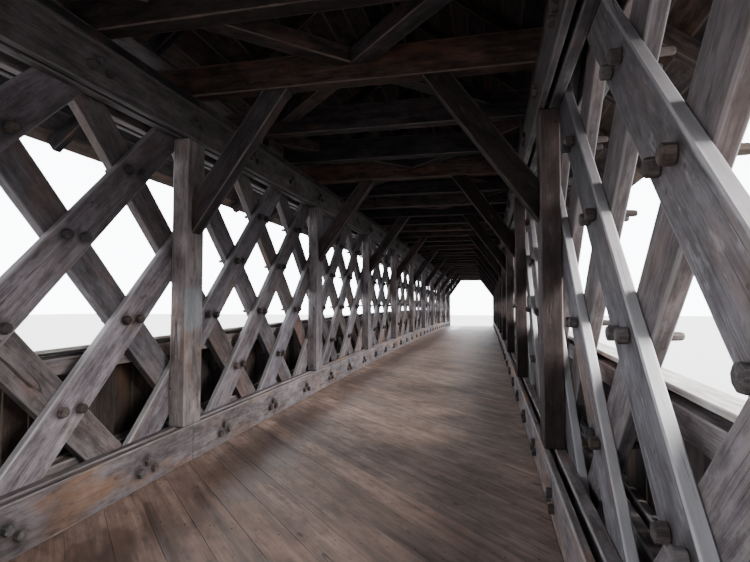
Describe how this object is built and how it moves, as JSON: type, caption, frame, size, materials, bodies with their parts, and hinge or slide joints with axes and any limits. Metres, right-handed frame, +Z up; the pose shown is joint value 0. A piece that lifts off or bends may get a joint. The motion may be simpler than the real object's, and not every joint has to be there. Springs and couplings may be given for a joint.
{
  "type": "covered timber footbridge",
  "caption": "Long covered timber footbridge: lattice trusses, posts with knee braces, plank deck, low side cladding and pitched roof on two abutments.",
  "frame": {"origin": "centre of the bounding box at the lowest ground, z = 0", "axes": "+Z up, +Y along the bridge from the near portal to the far one, +X to the right of someone who walks in at the near portal"},
  "size_m": [6.3, 38.8, 8.3569],
  "materials": {
    "concrete": "matte",
    "chord_timber": "matte",
    "lattice_timber": "matte",
    "deck_timber": "matte",
    "dark_timber": "matte",
    "roofing": "matte",
    "boarding": "matte",
    "cap_timber": "matte"
  },
  "bodies": {
    "root": {"abutment_near": "concrete", "abutment_far": "concrete", "bed_timbers": "dark_timber", "lower_chord_left": "lattice_timber", "lower_chord_right": "lattice_timber", "floor_beams": "dark_timber", "deck": "deck_timber", "lattice_inner_left": "lattice_timber", "lattice_inner_right": "lattice_timber", "lattice_outer_left": "lattice_timber", "lattice_outer_right": "lattice_timber", "curb_chord_left": "chord_timber", "curb_chord_right": "chord_timber", "upper_chord_left": "lattice_timber", "upper_chord_right": "lattice_timber", "posts_left": "chord_timber", "posts_right": "chord_timber", "knee_braces_left": "lattice_timber", "knee_braces_right": "lattice_timber", "wall_plates": "dark_timber", "tie_beams": "dark_timber", "plan_bracing": "dark_timber", "bracing_blocks": "dark_timber", "rafters_left": "dark_timber", "rafters_right": "dark_timber", "ridge_board": "dark_timber", "roof_left": "roofing", "roof_right": "roofing", "ridge_cap": "roofing", "eave_boards": "boarding", "barge_boards": "boarding", "cladding_left": "boarding", "cladding_right": "boarding", "cladding_rails": "boarding", "cap_rails": "cap_timber", "portal_near": "boarding", "portal_far": "boarding", "portal_side_walls": "boarding"}
  },
  "joints": []
}
